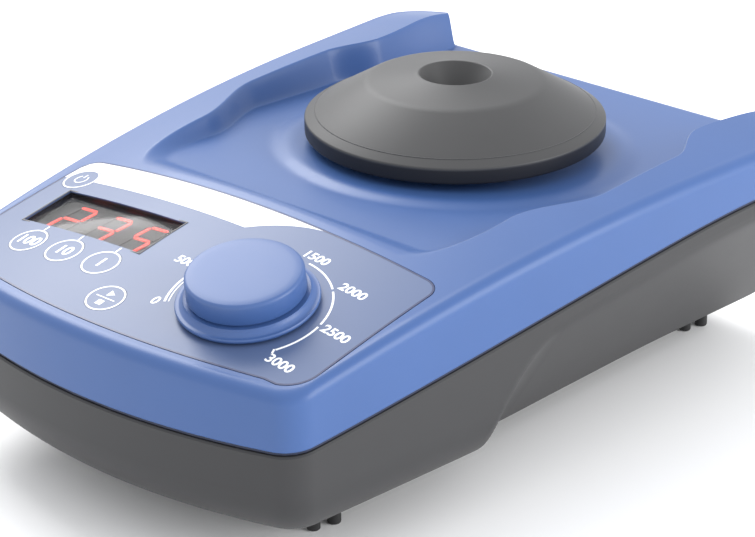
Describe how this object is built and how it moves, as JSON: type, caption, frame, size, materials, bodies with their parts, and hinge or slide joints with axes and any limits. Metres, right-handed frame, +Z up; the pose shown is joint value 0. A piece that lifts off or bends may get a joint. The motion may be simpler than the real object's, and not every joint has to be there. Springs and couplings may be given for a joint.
{
  "type": "laboratory shaker",
  "caption": "Low wedge-shaped bench shaker: sloping control panel with display, keys and knob, raised side wings and a round push-on attachment moved on a small orbit.",
  "frame": {"origin": "middle of the housing's plan, on the surface that the feet stand on", "axes": "+X to the operator's right, +Y towards the rear, +Z up"},
  "size_m": [0.1528, 0.205, 0.0795],
  "materials": {
    "blue_paint": "satin",
    "grey_paint": "satin",
    "seal_rubber": "matte",
    "panel_print": "satin",
    "smoked_glass": "polished",
    "red_light": "lit",
    "dark_plastic": "matte",
    "key_print": "satin",
    "knob_plastic": "satin",
    "board_green": "lacquered",
    "grey_rubber": "matte",
    "black_rubber": "matte",
    "steel": "turned",
    "aluminium": "cast and turned",
    "brass": "turned"
  },
  "bodies": {
    "housing": {"upper_housing": "blue_paint", "lower_housing": "grey_paint", "housing_gasket": "seal_rubber", "front_panel_film": "panel_print", "display_window": "smoked_glass", "display_digits": "red_light", "display_module": "dark_plastic", "control_board": "board_green", "power_switch": "dark_plastic", "hundreds_switch": "dark_plastic", "tens_switch": "dark_plastic", "ones_switch": "dark_plastic", "start_stop_switch": "dark_plastic", "encoder_body": "aluminium", "motor_mount": "aluminium", "lower_bearing": "steel", "upper_bearing": "steel", "motor_stator": "steel", "main_board": "board_green", "smoothing_capacitor": "dark_plastic", "ribbon_cable": "seal_rubber", "dc_inlet": "dark_plastic", "screw_front_left": "steel", "screw_front_right": "steel", "screw_rear_left": "steel", "screw_rear_right": "steel", "foot_front_left": "black_rubber", "foot_front_right": "black_rubber", "foot_rear_left": "black_rubber", "foot_rear_right": "black_rubber"},
    "speed_dial": {"speed_knob": "knob_plastic", "knob_shaft": "steel"},
    "power_button": {"power_key": "key_print"},
    "hundreds_button": {"hundreds_key": "key_print"},
    "tens_button": {"tens_key": "key_print"},
    "ones_button": {"ones_key": "key_print"},
    "start_stop_button": {"start_stop_key": "key_print"},
    "spindle": {"eccentric_shaft": "steel", "motor_rotor": "steel", "counterweight": "brass"},
    "crank_1": {"idler_crank_1": "steel"},
    "crank_2": {"idler_crank_2": "steel"},
    "crank_3": {"idler_crank_3": "steel"},
    "table": {"eccentric_bearing": "steel", "drive_plate": "aluminium", "shaking_table": "aluminium"},
    "attachment": {"attachment_base": "dark_plastic", "attachment_cap": "grey_rubber"}
  },
  "joints": [
    {"name": "knob_turn", "type": "hinge", "parent": "housing", "child": "speed_dial", "pos_m": [0.0291, -0.073, 0.0588], "axis": [0.069, -0.1895, 0.9795], "range_deg": [-240, 0]},
    {"name": "power_press", "type": "slide", "parent": "housing", "child": "power_button", "axis": [-0.1269, -0.156, 0.9796], "range_m": [-0.0005, 0], "stiffness_N_per_m": 800},
    {"name": "hundreds_press", "type": "slide", "parent": "housing", "child": "hundreds_button", "axis": [-0.0952, -0.1982, 0.9755], "range_m": [-0.0005, 0], "stiffness_N_per_m": 800},
    {"name": "tens_press", "type": "slide", "parent": "housing", "child": "tens_button", "axis": [-0.0644, -0.1987, 0.9779], "range_m": [-0.0005, 0], "stiffness_N_per_m": 800},
    {"name": "ones_press", "type": "slide", "parent": "housing", "child": "ones_button", "axis": [-0.0332, -0.199, 0.9794], "range_m": [-0.0005, 0], "stiffness_N_per_m": 800},
    {"name": "start_stop_press", "type": "slide", "parent": "housing", "child": "start_stop_button", "axis": [-0.0028, -0.2135, 0.9769], "range_m": [-0.0005, 0], "stiffness_N_per_m": 800},
    {"name": "drive_spin", "type": "hinge", "parent": "housing", "child": "spindle", "pos_m": [0, 0.03075, 0.03], "axis": [0, 0, 1], "continuous": true},
    {"name": "table_orbit", "type": "hinge", "parent": "spindle", "child": "table", "pos_m": [0, 0.033, 0.05], "axis": [0, 0, 1], "continuous": true},
    {"name": "crank_1_spin", "type": "hinge", "parent": "housing", "child": "crank_1", "pos_m": [-0.01775, 0.041, 0.047], "axis": [0, 0, 1], "continuous": true},
    {"name": "crank_2_spin", "type": "hinge", "parent": "housing", "child": "crank_2", "pos_m": [0, 0.01025, 0.047], "axis": [0, 0, 1], "continuous": true},
    {"name": "crank_3_spin", "type": "hinge", "parent": "housing", "child": "crank_3", "pos_m": [0.01775, 0.041, 0.047], "axis": [0, 0, 1], "continuous": true},
    {"name": "attachment_lift", "type": "slide", "parent": "table", "child": "attachment", "axis": [0, 0, 1], "range_m": [0, 0.02]}
  ],
  "couplings": [
    {"joint": "table_orbit", "follows": "drive_spin", "ratio": -1},
    {"joint": "crank_1_spin", "follows": "drive_spin", "ratio": 1},
    {"joint": "crank_2_spin", "follows": "drive_spin", "ratio": 1},
    {"joint": "crank_3_spin", "follows": "drive_spin", "ratio": 1}
  ]
}
